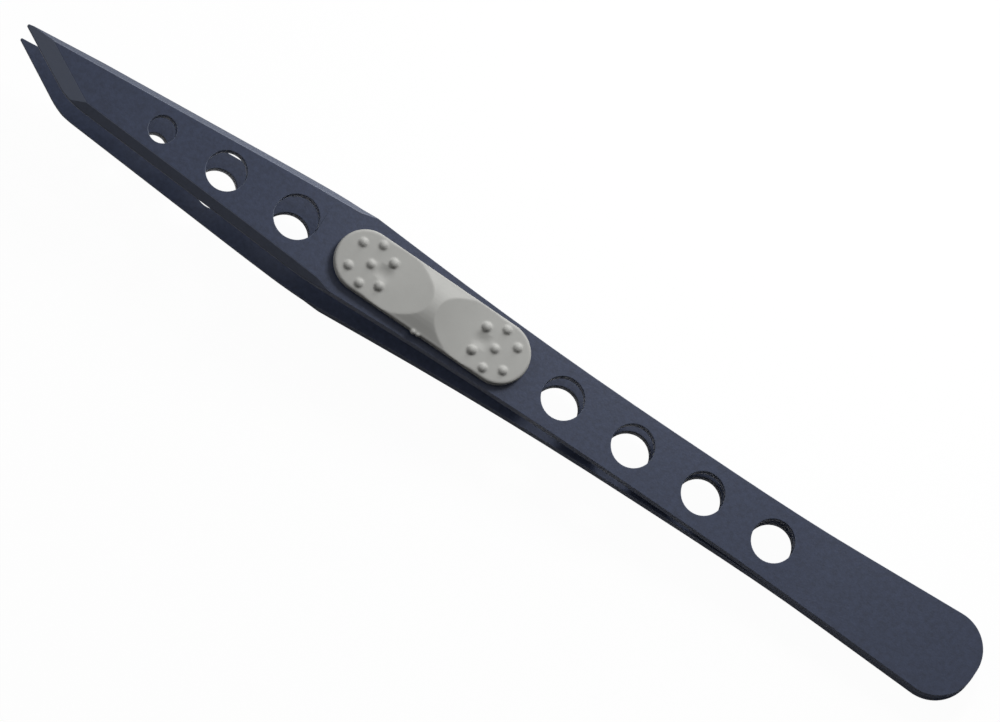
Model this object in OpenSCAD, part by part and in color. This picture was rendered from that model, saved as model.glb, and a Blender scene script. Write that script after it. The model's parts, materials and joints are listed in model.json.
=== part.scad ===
// Flat-legged tweezers: two coated spring steel legs, welded face to face at the tail,
// each with a moulded grip pad on its outer face. They lie at rest on the lower pad and
// the tail end. X runs from the tail to the tip, Z is up and millimetres are used.
// The legs and pads are drawn about the plane between the legs, then laid down.

/* [Leg outline] */
// Length of a leg, from the tail end to the tip
leg_l = 122; // [116:0.5:140]
// Width at the tail end, before its corners are rounded
tail_w = 10.14; // [9.2:0.02:12]
// Radius of the tail end's corners
tail_r = 4.4; // [3:0.1:4.8]
// Distance from the tail end to the neck, where the tail's taper stops
neck_x = 25; // [20:0.5:30]
// Width at the neck
neck_w = 7.8; // [7.3:0.02:8.6]
// Distance from the tail end to the waist
waist_x = 57; // [54:0.5:60]
// Width at the waist, before its long curve
waist_w = 7.46; // [7:0.02:8.2]
// Distance from the tail end to the belly, the widest place of the grip
belly_x = 82.8; // [80:0.2:85]
// Width at the belly, before it is rounded
belly_w = 10; // [9.4:0.02:11]
// Distance from the tip back to the nose, where the taper to the tip steepens
nose_back = 9; // [6:0.5:12]
// Distance from the tail end to the nose
nose_x = leg_l - nose_back;
// Width at the nose
nose_w = 5.68; // [5:0.02:6.2]
// Width at the tip, before the slanted cut
tip_w = 3.8; // [3:0.02:4.4]
// Radius of the neck's curve
neck_r = 400; // [200:20:500]
// Radius of the waist's curve
waist_r = 600; // [300:20:700]
// Radius of the belly's curve
belly_r = 55; // [40:5:120]
// Radius of the nose's curve
nose_r = 60; // [20:5:100]

/* [Leg bow] */
// Thickness of the sheet
leg_t = 1.4; // [1.2:0.05:1.6]
// Length of the welded tail, up to the bend at its root
weld_l = 21.6; // [18:0.2:24]
// Distance from the tail end to the bow's bend
bow_x = 57.9; // [54:0.5:60]
// Half of the gap between the legs at the bow's bend
bow_h = 1.9; // [1.5:0.05:2.4]
// Distance from the tail end to the knuckle's bend
knuckle_x = 85.8; // [84:0.2:90]
// Half of the gap between the legs at the knuckle's bend
knuckle_h = 3.95; // [3.6:0.05:4.8]
// Half of the gap between the tips
tip_h = 3.03; // [2.4:0.05:3.6]
// Radius of the root's bend
root_r = 100; // [40:5:160]
// Radius of the bow's bend
bow_r = 600; // [200:20:700]
// Radius of the knuckle's bend
knuckle_r = 144; // [60:4:160]

/* [Tip] */
// Angle between the slanted cut and the leg's length, in degrees
slant_a = 29.5; // [25:0.5:45]
// Radius of the point, seen from above
point_r = 0.15; // [0.05:0.05:0.4]
// Radius of the heel, where the slanted cut meets the other long edge
heel_r = 8; // [1:0.5:9]
// Width of the ground facet along the slanted cut
facet_w = 1.6; // [1:0.1:2.2]
// Thickness that the facet leaves at the tip's edge
edge_t = 0.35; // [0.2:0.05:0.6]
// Width of the bevel on a long outer edge, seen from above
bevel_w = 0.8; // [0.5:0.05:1]
// Depth of that bevel
bevel_d = 1.05; // [0.4:0.05:1.1]
// Distance from the tail end to where the bevels reach their full depth
bevel_x = 81.5; // [80:0.5:86]
// Length over which the bevels fade in
bevel_fade = 5; // [2:0.5:6]

/* [Holes] */
// Diameter of the holes behind the pad
rear_hole_d = 4.8; // [4:0.1:5.4]
// Distance from the tail end to the first of them
rear_hole_x = 25.7; // [24:0.1:28]
// Distance from one of them to the next
rear_hole_pitch = 9; // [8:0.1:9.4]
// Number of holes behind the pad
rear_hole_count = 4; // [1:1:4]
// Diameter of the hole next to the pad, on the knuckle
knuckle_hole_d = 5; // [4:0.1:5.6]
// Distance from the tail end to that hole
knuckle_hole_x = 86.9; // [86:0.1:88]
// Diameter of the middle hole of the front three
middle_hole_d = 4.5; // [3.6:0.1:5]
// Place of that hole, as a part of the way from the knuckle's hole to the tip
middle_hole_at = 0.2536; // [0.23:0.0002:0.28]
// Distance from the tail end to that hole
middle_hole_x = knuckle_hole_x + middle_hole_at * (leg_l - knuckle_hole_x);
// Diameter of the hole next to the tip
tip_hole_d = 3.1; // [2:0.1:3.6]
// Place of that hole, as a part of the same way
tip_hole_at = 0.4844; // [0.46:0.0002:0.54]
// Distance from the tail end to that hole
tip_hole_x = knuckle_hole_x + tip_hole_at * (leg_l - knuckle_hole_x);

/* [Grip pads] */
// Length of a pad
pad_l = 24.1; // [23:0.1:24.8]
// Width of a pad
pad_w = 6.95; // [6.2:0.05:7.4]
// Thickness of a pad's flat ends
pad_t = 1; // [0.8:0.05:1.6]
// Distance from the tail end to the pad's middle
pad_x = 69.65; // [69:0.05:70.4]
// Radius of the pad's upper edge
pad_edge_r = 0.3; // [0.2:0.05:0.7]
// Slope of the two sides of the ridge across the pad's middle, in degrees
ridge_a = 22; // [14:1:26]
// Radius of the ridge's crest
ridge_r = 6; // [2:0.5:7]
// Radius of the finger scoop on each side of the ridge
scoop_r = 12.5; // [9:0.5:16]
// Distance from the pad's middle to a scoop's lowest line
scoop_x = 5.2; // [5:0.1:5.6]
// Depth of a scoop below the pad's flat ends
scoop_d = 0.12; // [0.05:0.01:0.3]
// Radius of the dimple where a scoop meets the bumps
dimple_r = 2; // [1.5:0.25:4]
// Distance from the pad's middle to the dimple
dimple_x = 6.1; // [5.8:0.1:6.4]
// Depth of the dimple below the pad's flat ends
dimple_d = 0.3; // [0.15:0.05:0.4]
// Diameter of a grip bump at its foot
bump_d = 1.05; // [0.8:0.05:1.4]
// Height of a grip bump
bump_h = 0.35; // [0.2:0.05:0.5]
// Distance from the middle bump of a group to those round it
bump_ring_r = 2.48; // [2:0.02:2.54]
// Angle of the four side bumps of a group from the pad's length, in degrees
bump_side_a = 37; // [28:1:45]
// Distance from the pad's middle to a group's middle bump
bump_x = 7.97; // [7.7:0.05:8.2]

/* [Pad anchors] */
// Diameter of the pegs that hold a pad in its leg
peg_d = 2.4; // [1.6:0.1:3]
// Distance from the pad's middle to a peg
peg_x = 8; // [7:0.1:9]
// Gap between a peg and its hole, all round
peg_gap = 0.02; // [0.01:0.01:0.1]

/* [Hidden] */
$fn = 96;
leg_colour = [0.27, 0.29, 0.34];
grip_colour = [0.62, 0.61, 0.6];

// How far a cutter reaches past what it cuts
over = 2;
// Height of a cutter that clears a whole leg
clear_h = knuckle_h + leg_t + pad_t + 2 * over;
// Turn of a bend or corner that one flat of it takes, in degrees
bend_step = 0.6;
corner_step = 5;

// Lines and corners in a plane
function unit(v) = v / norm(v);
function cross2(a, b) = a[0] * b[1] - a[1] * b[0];
function meet(p, d, q, e) = p + d * cross2(q - p, e) / cross2(d, e);
function turned(v, a) = [v[0] * cos(a) - v[1] * sin(a), v[0] * sin(a) + v[1] * cos(a)];
function turn_at(a, b, c) = atan2(cross2(b - a, c - b), (b - a) * (c - b));

// The arc of radius r that rounds the corner b of the path a, b, c
function rounded(a, b, c, r, step) =
    let (turn = turn_at(a, b, c),
         side = sign(turn) * turned(unit(b - a), 90),
         start = b - unit(b - a) * r * tan(abs(turn) / 2),
         centre = start + side * r,
         n = max(2, ceil(abs(turn) / step)))
    [for (i = [0 : n]) centre + turned(start - centre, turn * i / n)];

// The inner face of a leg, seen from the side, as [distance, half gap]
root = [weld_l, 0];
bow = [bow_x, bow_h];
knuckle = [knuckle_x, knuckle_h];
tip = [leg_l, tip_h];
inner_face = concat(
    [[0, 0]],
    rounded([0, 0], root, bow, root_r, bend_step),
    rounded(root, bow, knuckle, bow_r, bend_step),
    rounded(bow, knuckle, tip, knuckle_r, bend_step),
    [tip]);
outer_face = [for (p = inner_face) p + [0, leg_t]];
tip_a = atan2(knuckle_h - tip_h, leg_l - knuckle_x);

// One long edge of a leg, seen from above, as [distance, half width]
tail_corner = [0, tail_w / 2];
neck = [neck_x, neck_w / 2];
waist = [waist_x, waist_w / 2];
belly = [belly_x, belly_w / 2];
nose = [nose_x, nose_w / 2];
tip_corner = [leg_l, tip_w / 2];
taper_a = atan2(belly[1] - nose[1], nose[0] - belly[0]);
nose_a = atan2(nose[1] - tip_corner[1], nose_back);
long_edge = concat(
    rounded([0, 0], tail_corner, neck, tail_r, corner_step),
    rounded(tail_corner, neck, waist, neck_r, bend_step),
    rounded(neck, waist, belly, waist_r, bend_step),
    rounded(waist, belly, nose, belly_r, bend_step));
nose_arc = rounded(belly, nose, tip_corner, nose_r, bend_step);

// The slanted cut runs from the point, before it is rounded, back to the heel on the other edge
point_a = (slant_a + nose_a) / 2;
point_x = leg_l + point_r * (cos(slant_a - point_a) / sin(point_a) - 1);
sharp_tip = [point_x, (point_x - leg_l) * tan(nose_a) - tip_w / 2];
heel = meet(sharp_tip, [-cos(slant_a), sin(slant_a)], belly, nose - belly);
slant_l = norm(heel - sharp_tip);

// The pad lies along the chord of the leg's outer face below it
pad_foot = [pad_x, lookup(pad_x, outer_face)];
pad_rise = lookup(pad_x + pad_l / 2, outer_face) - lookup(pad_x - pad_l / 2, outer_face);
pad_a = atan2(pad_rise, pad_l);

// Heights above the pad's underside and distances from its middle
ridge_half_w = pad_w / 2 - pad_edge_r;
ridge_top = pad_t + ridge_half_w * tan(ridge_a) - ridge_r * (1 / cos(ridge_a) - 1);
scoop_z = pad_t - scoop_d + scoop_r;
crest_half_l = scoop_x - sqrt(pow(scoop_r, 2) - pow(scoop_z - ridge_top, 2));
bump_r = (pow(bump_d / 2, 2) + pow(bump_h, 2)) / (2 * bump_h);
bump_z = pad_t + bump_h - bump_r;
bump_turns = [bump_side_a, 90, 180 - bump_side_a, 180 + bump_side_a, 270, -bump_side_a];

// A point beside the pad's middle, as [distance, half gap] in the leg's own frame
function on_pad(x, z) = pad_foot + turned([x, z], pad_a);

// Angle of the line from the tail's outer corner that touches a circle of radius r at p
function touch_a(p, r) =
    let (d = p - [0, leg_t]) atan2(d[1], d[0]) + asin(r / norm(d));

// The tweezers lie on the tail end and on what reaches furthest out
rest_a = max(concat(
    [for (x = [-crest_half_l, crest_half_l]) touch_a(on_pad(x, ridge_top), 0)],
    [for (side = [-1, 1], turn = bump_turns)
        touch_a(on_pad(side * (bump_x + bump_ring_r * cos(turn)), bump_z), bump_r)],
    [for (p = outer_face) if (p[0] > weld_l) touch_a(p, 0)]));
rest_mid_x = (leg_l * cos(rest_a) + (tip_h + edge_t - leg_t) * sin(rest_a)) / 2;

hole_list = concat(
    [for (i = [0 : rear_hole_count - 1]) [rear_hole_x + i * rear_hole_pitch, rear_hole_d]],
    [[knuckle_hole_x, knuckle_hole_d],
     [middle_hole_x, middle_hole_d],
     [tip_hole_x, tip_hole_d]]);

// Lays the tweezers down, with the middle of their length at the origin
module at_rest() {
    translate([-rest_mid_x, 0, leg_t * cos(rest_a)])
        rotate([0, -rest_a, 0])
            children();
}

module mirrored_if(flip) {
    mirror([0, 0, flip ? 1 : 0]) children();
}

// A shape drawn as [distance, half gap], stretched across the leg
module across(width) {
    rotate([90, 0, 0]) translate([0, 0, -width / 2]) linear_extrude(width) children();
}

// The blank as it is stamped: rounded tail, waist, belly, nose and slanted tip
module blank() {
    to_nose = concat(long_edge, nose_arc);
    other_edge = [for (i = [len(to_nose) - 1 : -1 : 0]) [to_nose[i][0], -to_nose[i][1]]];
    heel_arc = rounded(belly, heel, sharp_tip, heel_r, corner_step);
    point_arc = rounded(heel, sharp_tip, other_edge[0], point_r, 2 * corner_step);
    linear_extrude(clear_h)
        polygon(concat(long_edge, heel_arc, point_arc, other_edge));
}

// The bow that the blank is pressed to
module bowed_sheet() {
    back = [for (i = [len(outer_face) - 1 : -1 : 0]) outer_face[i]];
    across(tail_w + belly_w) polygon(concat(inner_face, back));
}

module lightening_holes() {
    for (h = hole_list)
        translate([h[0], 0, -over]) cylinder(d = h[1], h = clear_h + over);
}

// Seat of the pad on the leg's outer face
module on_leg() {
    translate([pad_foot[0], 0, pad_foot[1]]) rotate([0, -pad_a, 0]) children();
}

// Two cylinders from inside the pad down through the leg, to the given depth
module pegs(d, depth) {
    on_leg()
        for (side = [-1, 1])
            translate([side * peg_x, 0, -depth]) cylinder(d = d, h = depth + pad_t / 2);
}

// Grinds the bevel along the long edge on the +Y side, down from the outer face
module bevel_cut() {
    bevel_a = atan2(bevel_d, bevel_w);
    face = [for (p = outer_face) if (p[0] > bevel_x) p];
    start = [bevel_x, lookup(bevel_x, outer_face)];
    line = concat([start - [bevel_fade, -bevel_d], start], face, [face[len(face) - 1] + [over, 0]]);
    low = [for (p = line) [p[0], p[1] * cos(bevel_a)]];
    translate([belly[0], belly[1], 0])
        rotate([0, 0, -taper_a])
            translate([-belly[0], -bevel_w, 0])
                rotate([-bevel_a, 0, 0])
                    across(2 * clear_h)
                        polygon(concat(low, [[leg_l + over, clear_h], [bevel_x - bevel_fade, clear_h]]));
}

// Grinds the facet along the slanted cut
module facet_cut() {
    facet_a = atan2(leg_t - edge_t, facet_w);
    translate([sharp_tip[0], sharp_tip[1], tip_h])
        rotate([0, tip_a, 0])
            rotate([0, 0, 180 - slant_a])
                translate([0, 0, edge_t])
                    rotate([facet_a, 0, 0])
                        translate([-slant_l / 2, -slant_l, 0])
                            cube([2 * slant_l, 2 * slant_l, slant_l]);
}

// One leg above the plane between the legs
module leg() {
    color(leg_colour)
        difference() {
            intersection() {
                blank();
                bowed_sheet();
            }
            lightening_holes();
            pegs(peg_d + 2 * peg_gap, leg_t + over);
            bevel_cut();
            mirror([0, 1, 0]) bevel_cut();
            facet_cut();
        }
}

// Half of the pad's section at its flat ends, with a rounded upper edge
module end_section() {
    intersection() {
        union() {
            translate([0, -over]) square([pad_w / 2 - pad_edge_r, pad_t + over]);
            translate([0, -over]) square([pad_w / 2, pad_t + over - pad_edge_r]);
            translate([pad_w / 2 - pad_edge_r, pad_t - pad_edge_r]) circle(pad_edge_r);
        }
        translate([0, -over]) square([pad_w, pad_t + 2 * over]);
    }
}

// The pad without its ridge: a flat bar with round ends
module pad_bar() {
    straight_l = pad_l - pad_w;
    rotate([90, 0, 90])
        translate([0, 0, -straight_l / 2])
            linear_extrude(straight_l) {
                end_section();
                mirror([1, 0]) end_section();
            }
    for (side = [-1, 1])
        translate([side * straight_l / 2, 0, 0])
            rotate([0, 0, -side * 90])
                rotate_extrude(angle = 180) end_section();
}

// The ridge across the pad's middle, with a rounded crest
module ridge() {
    foot = [ridge_half_w, pad_t];
    peak = [0, pad_t + ridge_half_w * tan(ridge_a)];
    crest = rounded(foot, peak, [-foot[0], foot[1]], ridge_r, corner_step);
    rotate([90, 0, 90])
        translate([0, 0, -scoop_x])
            linear_extrude(2 * scoop_x)
                polygon(concat([[-foot[0], 0], [foot[0], 0], foot], crest, [[-foot[0], foot[1]]]));
}

module bump() {
    translate([0, 0, bump_z])
        intersection() {
            sphere(bump_r);
            translate([0, 0, bump_r - bump_h]) cylinder(r = bump_r, h = 2 * bump_h + scoop_d, center = true);
        }
}

// A middle bump with the others round it
module bump_group() {
    bump();
    for (turn = bump_turns)
        rotate([0, 0, turn]) translate([bump_ring_r, 0, 0]) bump();
}

// A finger scoop that runs up to the ridge, and the dimple at its far end
module scoop() {
    translate([scoop_x, 0, scoop_z])
        rotate([90, 0, 0]) cylinder(r = scoop_r, h = pad_w + over, center = true, $fn = 4 * $fn);
    translate([dimple_x, 0, pad_t - dimple_d + dimple_r]) sphere(dimple_r);
}

// A pad with its pegs, seated on the leg's outer face
module grip() {
    under = [for (i = [len(outer_face) - 1 : -1 : 0]) outer_face[i]];
    color(grip_colour) {
        difference() {
            on_leg() {
                difference() {
                    union() {
                        pad_bar();
                        ridge();
                    }
                    for (side = [0, 1]) mirror([side, 0, 0]) scoop();
                }
                for (side = [0, 1]) mirror([side, 0, 0]) translate([bump_x, 0, 0]) bump_group();
            }
            across(tail_w + belly_w) polygon(concat([[0, -over], [leg_l, -over]], under));
        }
        pegs(peg_d, leg_t);
    }
}

module upper_leg() {
    at_rest() leg();
}

module lower_leg() {
    at_rest() mirrored_if(true) leg();
}

module upper_grip() {
    at_rest() grip();
}

module lower_grip() {
    at_rest() mirrored_if(true) grip();
}

upper_leg();
lower_leg();
upper_grip();
lower_grip();
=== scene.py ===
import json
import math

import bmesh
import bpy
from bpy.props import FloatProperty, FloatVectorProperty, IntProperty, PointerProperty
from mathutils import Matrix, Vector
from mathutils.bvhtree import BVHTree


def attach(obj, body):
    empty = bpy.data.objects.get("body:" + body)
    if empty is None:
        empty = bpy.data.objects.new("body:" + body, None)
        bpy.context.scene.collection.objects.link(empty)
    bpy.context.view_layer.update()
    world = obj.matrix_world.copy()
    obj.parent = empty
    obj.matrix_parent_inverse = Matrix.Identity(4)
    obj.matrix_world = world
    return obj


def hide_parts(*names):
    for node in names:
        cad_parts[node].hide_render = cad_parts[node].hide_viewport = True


bl_info = {
    "name": "Coated tweezers",
    "version": (1, 0, 0),
    "blender": (4, 5, 0),
    "location": "3D View > Sidebar > Tweezers",
    "description": "Finishes flat-legged coated tweezers with moulded grip pads, on a pale table",
    "category": "Object",
}

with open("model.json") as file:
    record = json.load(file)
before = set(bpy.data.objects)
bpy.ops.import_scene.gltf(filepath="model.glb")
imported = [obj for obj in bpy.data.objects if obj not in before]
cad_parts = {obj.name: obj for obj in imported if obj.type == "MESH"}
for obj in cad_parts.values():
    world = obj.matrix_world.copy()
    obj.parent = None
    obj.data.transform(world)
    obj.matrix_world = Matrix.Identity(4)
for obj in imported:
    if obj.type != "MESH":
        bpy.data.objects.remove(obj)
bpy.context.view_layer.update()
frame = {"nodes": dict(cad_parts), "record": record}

MM = 0.001

# The lightening hole nearest the tail gives the plane between the legs: it is square to that plane
MOUNTS = {mount["name"]: mount for mount in frame["record"]["mounts"]}
PLANE_POINT = Vector(MOUNTS["peg_hole"]["pos_m"])
PLANE_NORMAL = Vector(MOUNTS["peg_hole"]["axis"]).normalized()
# From the tail to the tip, along the plane between the legs
FORWARD = Vector((0, 1, 0)).cross(PLANE_NORMAL)
# The middle of a pad's underside: along the legs, above their plane, and its slope to that plane
PAD_ALONG = 43.95 * MM
PAD_RISE = 4.163 * MM
PAD_TURN = math.radians(4.03)


def linear(code):
    """The linear colour of an sRGB hex value"""
    parts = [int(code[i:i + 2], 16) / 255 for i in (0, 2, 4)]
    return [c / 12.92 if c <= 0.04045 else ((c + 0.055) / 1.055) ** 2.4 for c in parts] + [1.0]


def along_legs(x, y, z):
    """A point given along the legs, across them and above the plane between them, in metres"""
    return PLANE_POINT + x * FORWARD + Vector((0, y, 0)) + z * PLANE_NORMAL


def pad_axes(side):
    """The frame of a pad, on the leg's outer face: side is 1 for the upper pad and -1 for the lower one"""
    out = side * PLANE_NORMAL
    along = math.cos(PAD_TURN) * FORWARD + math.sin(PAD_TURN) * out
    up = math.cos(PAD_TURN) * out - math.sin(PAD_TURN) * FORWARD
    middle = along_legs(PAD_ALONG, 0, side * PAD_RISE)
    axes = Matrix((along, (0, 1, 0), up)).transposed().to_4x4()
    return Matrix.Translation(middle) @ axes


# Sizes and colours that a user would change

class LegSettings(bpy.types.PropertyGroup):
    edge_radius: FloatProperty(
        name="Edge radius", description="Rounding that the coating leaves on every sharp edge",
        default=0.08 * MM, min=0.02 * MM, max=0.3 * MM, unit="LENGTH", precision=5)
    coat: FloatVectorProperty(
        name="Coating", description="Colour of the matte coating",
        default=linear("2E3548"), size=4, min=0, max=1, subtype="COLOR")
    # Colour of the facets and bevels: partly their thinner coating, partly painted highlight standing for
    # the light these slopes catch
    ground_and_highlit: FloatVectorProperty(
        name="Ground slopes", description="Colour of the thinner coating on the ground facets and bevels",
        default=linear("616879"), size=4, min=0, max=1, subtype="COLOR")
    coat_roughness: FloatProperty(
        name="Coating roughness", description="How far the coating scatters a highlight",
        default=0.42, min=0, max=1, subtype="FACTOR")


class GripSettings(bpy.types.PropertyGroup):
    voxel: FloatProperty(
        name="Detail", description="Size of the finest detail in a moulded pad",
        default=0.1 * MM, min=0.08 * MM, max=0.5 * MM, unit="LENGTH", precision=5)
    softness: IntProperty(
        name="Softness", description="Passes that soften a pad's edges, as its mould's worn corners do",
        default=3, min=0, max=20)
    rubber: FloatVectorProperty(
        name="Rubber", description="Colour of the moulded pads",
        default=linear("A2A29F"), size=4, min=0, max=1, subtype="COLOR")
    rubber_roughness: FloatProperty(
        name="Rubber roughness", description="How far the pads scatter a highlight",
        default=0.6, min=0, max=1, subtype="FACTOR")


class StageSettings(bpy.types.PropertyGroup):
    table_side: FloatProperty(
        name="Table side", description="Side of the square table",
        default=3.0, min=0.5, max=10, unit="LENGTH")
    distance: FloatProperty(
        name="Camera distance", description="From the camera to the middle of the tweezers",
        default=2.0, min=0.2, max=5, unit="LENGTH")
    lens: FloatProperty(
        name="Lens", description="Focal length of the camera",
        default=676.8, min=20, max=2000, unit="CAMERA")
    side_turn: FloatProperty(
        name="Side turn", description="How far the camera leans over the legs' long edge",
        default=math.radians(14.5), min=0, max=math.radians(80), unit="ROTATION")
    roll: FloatProperty(
        name="Roll", description="Angle of the tweezers in the picture, tail down",
        default=math.radians(33.4), min=-math.pi, max=math.pi, unit="ROTATION")
    sky: FloatProperty(
        name="Sky", description="Strength of the even light from all round",
        default=0.02, min=0, max=2)
    key: FloatProperty(
        name="Key light", description="Power of the small light close by, above the legs' far edge",
        default=0.127, min=0, max=5, unit="POWER")
    skim: FloatProperty(
        name="Skimming light", description="Power of the low light over the legs' far edge",
        default=2.0, min=0, max=20, unit="POWER")
    tip: FloatProperty(
        name="Tip light", description="Power of the soft light beyond the tip",
        default=0.9, min=0, max=20, unit="POWER")


# Materials

def add_node(tree, kind, settings=None, links=None):
    """Adds a shader node, sets its properties and sockets, and links its inputs, by name or number"""
    node = tree.nodes.new(kind)
    for name, value in (settings or {}).items():
        if hasattr(node, name):
            setattr(node, name, value)
        else:
            node.inputs[name].default_value = value
    for name, output in (links or {}).items():
        tree.links.new(output, node.inputs[name])
    return node


def new_material(name):
    """A material with an empty node tree"""
    material = bpy.data.materials.new(name)
    material.use_nodes = True
    material.node_tree.nodes.clear()
    return material


def turn_along_legs():
    """Turns object coordinates so that X runs along the legs and Z is square to them"""
    rows = Matrix((FORWARD, (0, 1, 0), PLANE_NORMAL))
    return rows.to_euler()


def ground_and_highlit_slopes(tree, normal):
    """How much lighter a slope is painted: fully on a tip's facet, less on the bevels, not elsewhere. The
    lighter tone is partly the coating left thinner by grinding and partly painted highlight, standing for
    the light that these slopes catch.

    The facets and bevels are known by their slope to the legs' faces.
    """
    legs_normal = add_node(tree, "ShaderNodeMapping",
                           {"vector_type": "NORMAL", "Rotation": turn_along_legs()},
                           {"Vector": normal})
    parts = add_node(tree, "ShaderNodeSeparateXYZ", None, {"Vector": legs_normal.outputs["Vector"]})
    rise = add_node(tree, "ShaderNodeMath", {"operation": "ABSOLUTE"}, {"Value": parts.outputs["Z"]})
    thinned_and_highlit = add_node(tree, "ShaderNodeValToRGB", None, {"Fac": rise.outputs["Value"]})
    # The cosine of a bevel's slope lies between 0.55 and 0.68, and a facet's between 0.78 and 0.9
    bevel_level = 0.37
    ramp = thinned_and_highlit.color_ramp
    ramp.elements[0].position = 0.45
    ramp.elements[0].color = (0, 0, 0, 1)
    ramp.elements[1].position = 0.94
    ramp.elements[1].color = (0, 0, 0, 1)
    for rise_at, level in ((0.55, bevel_level), (0.68, bevel_level), (0.78, 1), (0.9, 1)):
        ramp.elements.new(rise_at).color = (level, level, level, 1)
    return thinned_and_highlit.outputs["Color"]


def coated_spring_steel(settings):
    """Stamped spring steel under a thin matte antistatic coating.

    The coating is a dark slate blue with a fine orange-peel grain and a faint speckle,
    so the eye reads a dull, even surface that catches light only along its edges.
    """
    material = new_material("coated_spring_steel")
    tree = material.node_tree
    grain_size = 0.22 * MM
    grain_depth = 0.016 * MM
    speckle_size = 0.55 * MM
    speckle_contrast = 0.23
    place = add_node(tree, "ShaderNodeTexCoord")
    along = add_node(tree, "ShaderNodeMapping", {"Rotation": turn_along_legs()},
                     {"Vector": place.outputs["Object"]})
    grain = add_node(tree, "ShaderNodeTexNoise", {"Scale": 1 / grain_size, "Detail": 3.0},
                     {"Vector": along.outputs["Vector"]})
    speckle = add_node(tree, "ShaderNodeTexNoise",
                       {"Scale": 1 / speckle_size, "Detail": 3.0, "Roughness": 0.7},
                       {"Vector": along.outputs["Vector"]})
    tint = add_node(tree, "ShaderNodeValToRGB", None, {"Fac": speckle.outputs["Fac"]})
    tint.color_ramp.elements[0].position = 0.3
    tint.color_ramp.elements[1].position = 0.7
    shade = settings.coat
    tint.color_ramp.elements[0].color = [c * (1 - speckle_contrast) for c in shade[:3]] + [1]
    tint.color_ramp.elements[1].color = [c * (1 + speckle_contrast) for c in shade[:3]] + [1]
    # Painted highlight, partly real thinner coating: facets and bevels get a lighter colour by their slope
    thinned_and_highlit = ground_and_highlit_slopes(tree, place.outputs["Normal"])
    shown = add_node(tree, "ShaderNodeMixRGB", {"Color2": settings.ground_and_highlit},
                     {"Fac": thinned_and_highlit, "Color1": tint.outputs["Color"]})
    bump = add_node(tree, "ShaderNodeBump", {"Strength": 0.7, "Distance": grain_depth},
                    {"Height": grain.outputs["Fac"]})
    surface = add_node(tree, "ShaderNodeBsdfPrincipled",
                       {"Roughness": settings.coat_roughness, "IOR": 1.5, "Specular IOR Level": 0.28},
                       {"Base Color": shown.outputs["Color"], "Normal": bump.outputs["Normal"]})
    add_node(tree, "ShaderNodeOutputMaterial", None, {"Surface": surface.outputs["BSDF"]})
    return material


def moulded_elastomer(settings):
    """Light grey thermoplastic elastomer from a fine-sparked mould: dull, with a faint grain"""
    material = new_material("moulded_elastomer")
    tree = material.node_tree
    spark_size = 0.12 * MM
    spark_depth = 0.01 * MM
    cloud_size = 3 * MM
    cloud_contrast = 0.03
    place = add_node(tree, "ShaderNodeTexCoord")
    spark = add_node(tree, "ShaderNodeTexNoise", {"Scale": 1 / spark_size, "Detail": 2.0},
                     {"Vector": place.outputs["Object"]})
    cloud = add_node(tree, "ShaderNodeTexNoise", {"Scale": 1 / cloud_size, "Detail": 2.0},
                     {"Vector": place.outputs["Object"]})
    tint = add_node(tree, "ShaderNodeValToRGB", None, {"Fac": cloud.outputs["Fac"]})
    tint.color_ramp.elements[0].position = 0.3
    tint.color_ramp.elements[1].position = 0.7
    shade = settings.rubber
    tint.color_ramp.elements[0].color = [c * (1 - cloud_contrast) for c in shade[:3]] + [1]
    tint.color_ramp.elements[1].color = [c * (1 + cloud_contrast) for c in shade[:3]] + [1]
    bump = add_node(tree, "ShaderNodeBump", {"Strength": 0.2, "Distance": spark_depth},
                    {"Height": spark.outputs["Fac"]})
    surface = add_node(tree, "ShaderNodeBsdfPrincipled",
                       {"Roughness": settings.rubber_roughness, "IOR": 1.5, "Specular IOR Level": 0.25},
                       {"Base Color": tint.outputs["Color"], "Normal": bump.outputs["Normal"]})
    add_node(tree, "ShaderNodeOutputMaterial", None, {"Surface": surface.outputs["BSDF"]})
    return material


def mirrored_rays(tree, path):
    """One for a ray that metal or glass sends on, else zero"""
    either = add_node(tree, "ShaderNodeMath", {"operation": "MAXIMUM"},
                      {0: path.outputs["Is Glossy Ray"], 1: path.outputs["Is Transmission Ray"]})
    return either.outputs["Value"]


def white_table():
    """A table that is white to the camera and in reflections, and throws little light back up.

    Its shadow stays: faint to the camera, full in reflections.
    """
    material = new_material("white_table")
    tree = material.node_tree
    path = add_node(tree, "ShaderNodeLightPath")
    bounce = add_node(tree, "ShaderNodeBsdfDiffuse", {"Color": linear("707070")})
    mirrored = add_node(tree, "ShaderNodeBsdfDiffuse", {"Color": linear("F7F7F7")})
    pale = add_node(tree, "ShaderNodeBsdfDiffuse", {"Color": linear("303030")})
    glow = add_node(tree, "ShaderNodeEmission", {"Color": linear("FFFFFF"), "Strength": 0.97})
    seen = add_node(tree, "ShaderNodeAddShader", None,
                    {0: pale.outputs["BSDF"], 1: glow.outputs["Emission"]})
    unseen = add_node(tree, "ShaderNodeMixShader", None,
                      {0: mirrored_rays(tree, path), 1: bounce.outputs["BSDF"], 2: mirrored.outputs["BSDF"]})
    surface = add_node(tree, "ShaderNodeMixShader", None,
                       {0: path.outputs["Is Camera Ray"], 1: unseen.outputs["Shader"],
                        2: seen.outputs["Shader"]})
    add_node(tree, "ShaderNodeOutputMaterial", None, {"Surface": surface.outputs["Shader"]})
    return material


# Pieces

def merged_copy(node):
    """A copy of a CAD node's mesh as one closed surface, with its loose triangles joined"""
    work = bmesh.new()
    work.from_mesh(frame["nodes"][node].data)
    bmesh.ops.remove_doubles(work, verts=work.verts, dist=0.001 * MM)
    return work


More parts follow.
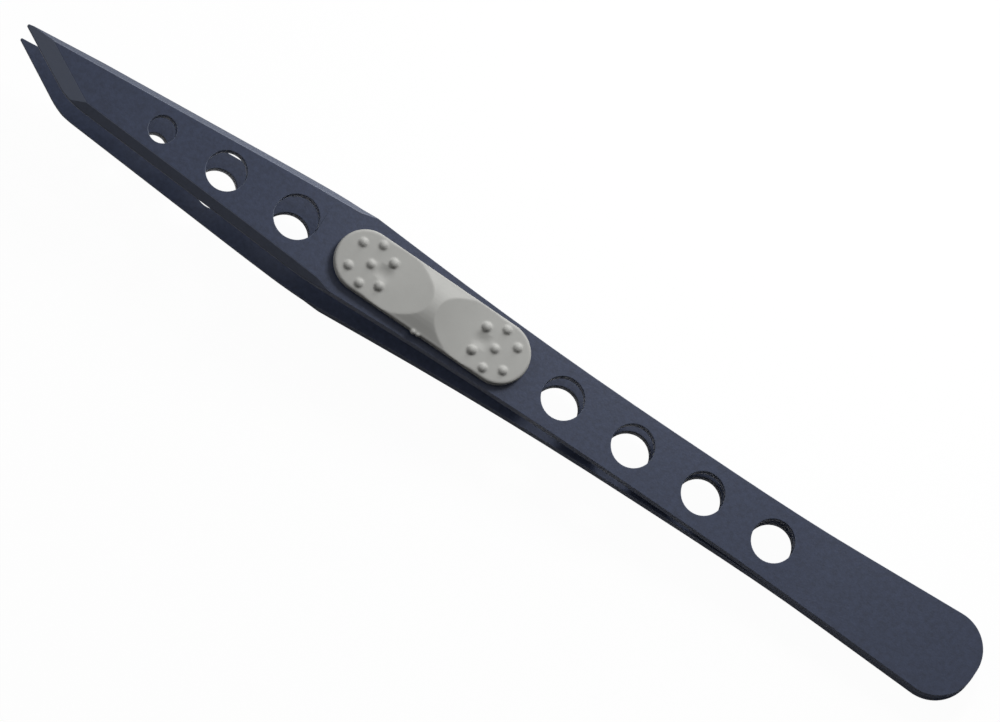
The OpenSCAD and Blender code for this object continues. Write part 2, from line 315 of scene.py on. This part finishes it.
def add_piece(name, work, material, node):
    """Puts a finished mesh in the scene in place of a CAD node"""
    mesh = bpy.data.meshes.new(name)
    work.to_mesh(mesh)
    work.free()
    mesh.materials.clear()
    mesh.materials.append(material)
    piece = bpy.data.objects.new(name, mesh)
    bpy.context.scene.collection.objects.link(piece)
    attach(piece, "root")
    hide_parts(node)
    return piece


def settle_modifiers(piece):
    """Makes what the modifiers show the piece's own mesh"""
    graph = bpy.context.evaluated_depsgraph_get()
    mesh = bpy.data.meshes.new_from_object(piece.evaluated_get(graph))
    piece.modifiers.clear()
    piece.data = mesh


class TWEEZERS_OT_legs(bpy.types.Operator):
    """Finishes the two coated legs, with every edge slightly rounded by the coating"""
    bl_idname = "tweezers.legs"
    bl_label = "Legs"

    def execute(self, context):
        settings = context.scene.tweezers_legs
        material = coated_spring_steel(settings)
        flat_angle, sharp_angle = math.radians(0.12), math.radians(20)
        for node in ("upper_leg", "lower_leg"):
            work = merged_copy(node)
            bmesh.ops.dissolve_limit(work, angle_limit=flat_angle, verts=work.verts, edges=work.edges)
            sharp = [e for e in work.edges if e.calc_face_angle(0) > sharp_angle]
            bmesh.ops.bevel(work, geom=sharp, offset=settings.edge_radius, segments=3, profile=0.5,
                            affect="EDGES", clamp_overlap=True, material=-1)
            for face in work.faces:
                face.smooth = True
            piece = add_piece(node + "_coated", work, material, node)
            even = piece.modifiers.new("Even shading", "WEIGHTED_NORMAL")
            even.weight = 100
            even.keep_sharp = True
        return {"FINISHED"}


class TWEEZERS_OT_grips(bpy.types.Operator):
    """Moulds the two grip pads, with the soft edges and the crumbs of flash that moulding leaves"""
    bl_idname = "tweezers.grips"
    bl_label = "Grip pads"

    def execute(self, context):
        settings = context.scene.tweezers_grips
        material = moulded_elastomer(settings)
        for node, leg, side in (("upper_grip", "upper_leg", 1), ("lower_grip", "lower_leg", -1)):
            pad = pad_axes(side)
            work = merged_copy(node)
            if side == 1:
                self.add_flash(work, pad)
            piece = add_piece(node + "_moulded", work, material, node)
            skin = piece.modifiers.new("Skin", "REMESH")
            skin.mode = "VOXEL"
            skin.voxel_size = settings.voxel
            skin.use_smooth_shade = True
            soft = piece.modifiers.new("Soft edges", "SMOOTH")
            soft.iterations = settings.softness
            settle_modifiers(piece)
            work = bmesh.new()
            work.from_mesh(piece.data)
            self.soften_dimples(work, pad)
            self.undercut_foot(work, pad, leg)
            work.to_mesh(piece.data)
            work.free()
        return {"FINISHED"}

    def add_flash(self, work, pad):
        """Adds the two crumbs of flash on the upper pad's long edge, where its mould was filled"""
        pad_edge, flash_up = 3.45 * MM, 0.78 * MM
        for along, size in ((0.3 * MM, 0.34 * MM), (-0.28 * MM, 0.27 * MM)):
            place = pad @ Matrix.Translation((along, pad_edge, flash_up))
            bmesh.ops.create_icosphere(work, subdivisions=2, radius=size, matrix=place)

    def soften_dimples(self, work, pad):
        """Rounds the rims of the two dimples"""
        dimple_x, reach, half_w, passes = 6.1 * MM, 1.5 * MM, 0.85 * MM, 40
        above_foot = 0.3 * MM
        from_pad = pad.inverted()
        chosen = []
        for vert in work.verts:
            x, y, z = from_pad @ vert.co
            if abs(abs(x) - dimple_x) < reach and abs(y) < half_w and z > above_foot:
                chosen.append(vert)
        for _ in range(passes):
            bmesh.ops.smooth_vert(work, verts=chosen, factor=0.5,
                                  use_axis_x=True, use_axis_y=True, use_axis_z=True)

    def undercut_foot(self, work, pad, leg):
        """Draws a pad's side wall in where it meets the leg, so that a dark line sets it off"""
        foot_h, depth = 0.3 * MM, 0.15 * MM
        least_facing = 0.7
        shape = merged_copy(leg)
        leg_skin = BVHTree.FromBMesh(shape)
        shape.free()
        up = pad.to_3x3() @ Vector((0, 0, 1))
        work.normal_update()
        for vert in work.verts:
            _, facing, _, gap = leg_skin.find_nearest(vert.co)
            if gap < foot_h and facing.dot(up) > least_facing:
                level = vert.normal - vert.normal.dot(up) * up
                vert.co -= depth * (1 - gap / foot_h) * level


class TWEEZERS_OT_stage(bpy.types.Operator):
    """Sets the table, the soft studio light and the camera"""
    bl_idname = "tweezers.stage"
    bl_label = "Stage"

    def execute(self, context):
        settings = context.scene.tweezers_stage
        scene = context.scene
        scene.view_settings.view_transform = "Standard"
        self.add_table(settings)
        self.add_sky(scene, settings)
        self.add_lamps(settings)
        self.add_camera(scene, settings)
        return {"FINISHED"}

    def add_table(self, settings):
        work = bmesh.new()
        bmesh.ops.create_grid(work, x_segments=1, y_segments=1, size=settings.table_side / 2)
        mesh = bpy.data.meshes.new("table")
        work.to_mesh(mesh)
        work.free()
        mesh.materials.append(white_table())
        table = bpy.data.objects.new("table", mesh)
        bpy.context.scene.collection.objects.link(table)

    def add_sky(self, scene, settings):
        world = bpy.data.worlds.new("studio")
        world.use_nodes = True
        tree = world.node_tree
        tree.nodes.clear()
        even = add_node(tree, "ShaderNodeBackground", {"Color": linear("FFFFFF"), "Strength": settings.sky})
        seen = add_node(tree, "ShaderNodeBackground", {"Color": linear("FFFFFF"), "Strength": 1.0})
        path = add_node(tree, "ShaderNodeLightPath")
        either = add_node(tree, "ShaderNodeMath", {"operation": "MAXIMUM"},
                          {0: path.outputs["Is Camera Ray"], 1: mirrored_rays(tree, path)})
        surface = add_node(tree, "ShaderNodeMixShader", None,
                           {0: either.outputs["Value"], 1: even.outputs["Background"],
                            2: seen.outputs["Background"]})
        add_node(tree, "ShaderNodeOutputWorld", None, {"Surface": surface.outputs["Shader"]})
        scene.world = world

    def add_lamps(self, settings):
        middle, pads = along_legs(28 * MM, 0, 0), along_legs(44 * MM, 0, 0)
        self.add_lamp("key", pads, settings.key, turn=-15, height=45, distance=0.125, side=0.04)
        self.add_lamp("skim", middle, settings.skim, turn=0, height=15, distance=0.6, side=0.3)
        self.add_lamp("tip", middle, settings.tip, turn=90, height=35, distance=0.6, side=0.3)

    def add_lamp(self, name, aim, power, turn, height, distance, side):
        """Adds a square lamp that faces a point.

        Its turn, in degrees, runs from the legs' far side towards the tip, and its height from their plane.
        """
        turn, height = math.radians(turn), math.radians(height)
        level = math.sin(turn) * FORWARD - math.cos(turn) * Vector((0, 1, 0))
        towards = math.cos(height) * level + math.sin(height) * PLANE_NORMAL
        lamp = bpy.data.lights.new(name, "AREA")
        lamp.shape = "SQUARE"
        lamp.size = side
        lamp.energy = power
        holder = bpy.data.objects.new(name, lamp)
        turned = towards.to_track_quat("Z", "Y").to_matrix().to_4x4()
        holder.matrix_world = Matrix.Translation(aim + distance * towards) @ turned
        holder.visible_camera = False
        bpy.context.scene.collection.objects.link(holder)

    def add_camera(self, scene, settings):
        lens = bpy.data.cameras.new("camera")
        lens.lens = settings.lens
        lens.clip_start = 0.01
        camera = bpy.data.objects.new("camera", lens)
        turn = settings.side_turn
        # Downwards across the legs in the picture, and from the legs to the camera
        across = math.cos(turn) * Vector((0, 1, 0)) - math.sin(turn) * PLANE_NORMAL
        towards = math.sin(turn) * Vector((0, 1, 0)) + math.cos(turn) * PLANE_NORMAL
        right = -math.cos(settings.roll) * FORWARD - math.sin(settings.roll) * across
        up = math.sin(settings.roll) * FORWARD - math.cos(settings.roll) * across
        aim = along_legs(34.77 * MM, -0.39 * MM, 0)
        turned = Matrix((right, up, towards)).transposed().to_4x4()
        camera.matrix_world = Matrix.Translation(aim + settings.distance * towards) @ turned
        scene.collection.objects.link(camera)
        scene.camera = camera


class TWEEZERS_PT_sidebar(bpy.types.Panel):
    """Lists the pieces and their settings"""
    bl_idname = "TWEEZERS_PT_sidebar"
    bl_label = "Coated tweezers"
    bl_space_type = "VIEW_3D"
    bl_region_type = "UI"
    bl_category = "Tweezers"

    def draw(self, context):
        scene = context.scene
        for operator, group in ((TWEEZERS_OT_legs, scene.tweezers_legs),
                                (TWEEZERS_OT_grips, scene.tweezers_grips),
                                (TWEEZERS_OT_stage, scene.tweezers_stage)):
            box = self.layout.box()
            for name in group.__annotations__:
                box.prop(group, name)
            box.operator(operator.bl_idname)


CLASSES = (LegSettings, GripSettings, StageSettings,
           TWEEZERS_OT_legs, TWEEZERS_OT_grips, TWEEZERS_OT_stage, TWEEZERS_PT_sidebar)


def register():
    for cls in CLASSES:
        bpy.utils.register_class(cls)
    bpy.types.Scene.tweezers_legs = PointerProperty(type=LegSettings)
    bpy.types.Scene.tweezers_grips = PointerProperty(type=GripSettings)
    bpy.types.Scene.tweezers_stage = PointerProperty(type=StageSettings)


def unregister():
    del bpy.types.Scene.tweezers_stage
    del bpy.types.Scene.tweezers_grips
    del bpy.types.Scene.tweezers_legs
    for cls in reversed(CLASSES):
        bpy.utils.unregister_class(cls)


def main():
    register()
    bpy.ops.tweezers.stage()
    bpy.ops.tweezers.legs()
    bpy.ops.tweezers.grips()


if __name__ == "__main__":
    main()
